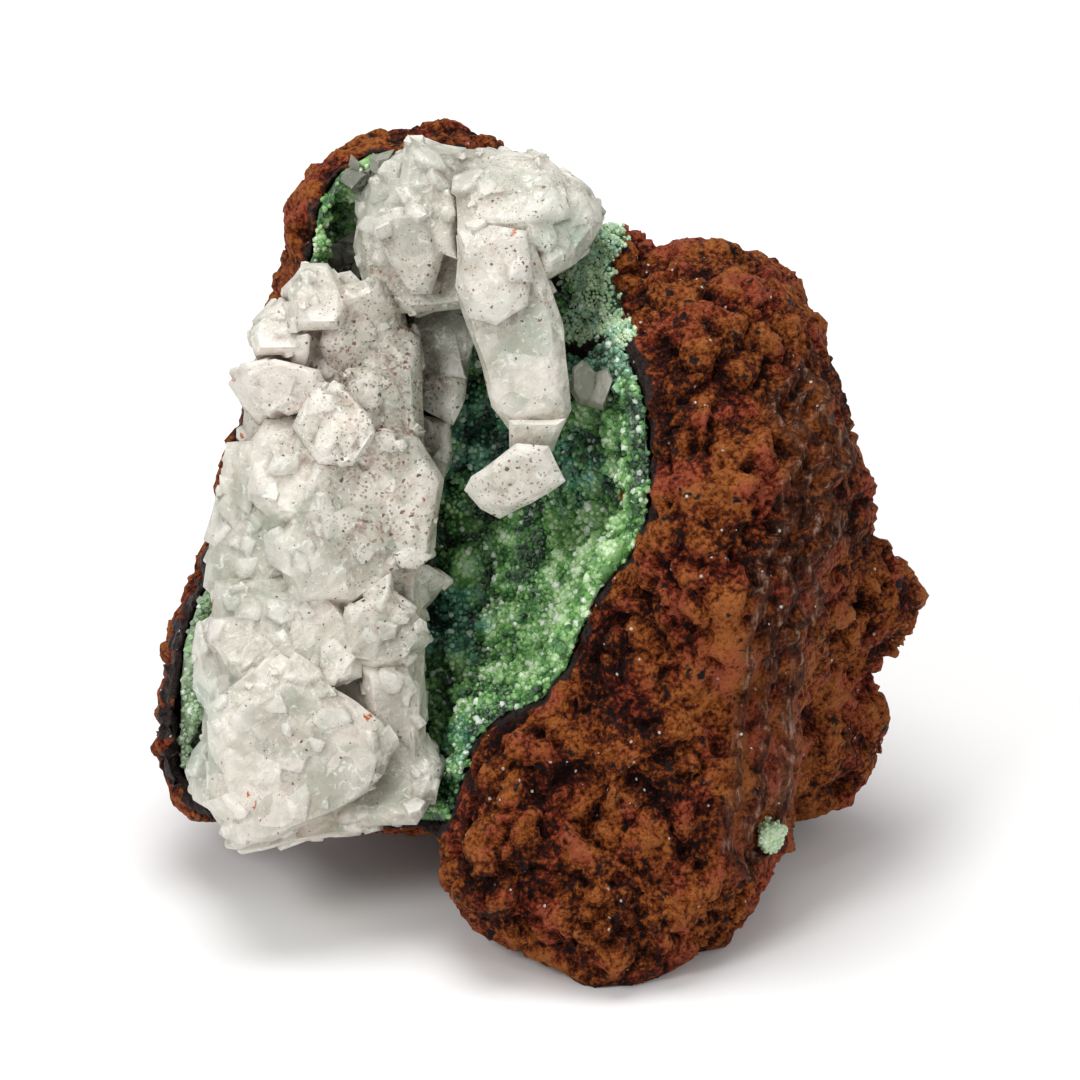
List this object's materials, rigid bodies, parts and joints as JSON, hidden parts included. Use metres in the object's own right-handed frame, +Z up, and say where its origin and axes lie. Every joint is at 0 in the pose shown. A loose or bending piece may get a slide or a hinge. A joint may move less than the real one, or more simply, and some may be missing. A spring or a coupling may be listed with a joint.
{
  "type": "mineral specimen of conichalcite on limonite",
  "caption": "Irregular hand specimen: rust-brown rock around an open vug lined with a green druse and grown over with pale blocky crystals; rests on its knobby underside.",
  "frame": {"origin": "on the table, under the middle of the specimen's box", "axes": "+Z up; the vug faces -Y and upward, +X to the right as seen from the front"},
  "size_m": [0.0784, 0.0696, 0.0757],
  "materials": {
    "limonite": "rough, earthy, pitted, with a dark rind by the vug",
    "conichalcite": "sparkling druse of fine green grains",
    "calcite": "milky to clear crystal with rust-brown specks"
  },
  "bodies": {
    "root": {"limonite_matrix": "limonite", "conichalcite_crust": "conichalcite", "conichalcite_patch": "conichalcite", "calcite_crystals": "calcite", "calcite_small_spar": "calcite"}
  },
  "joints": []
}
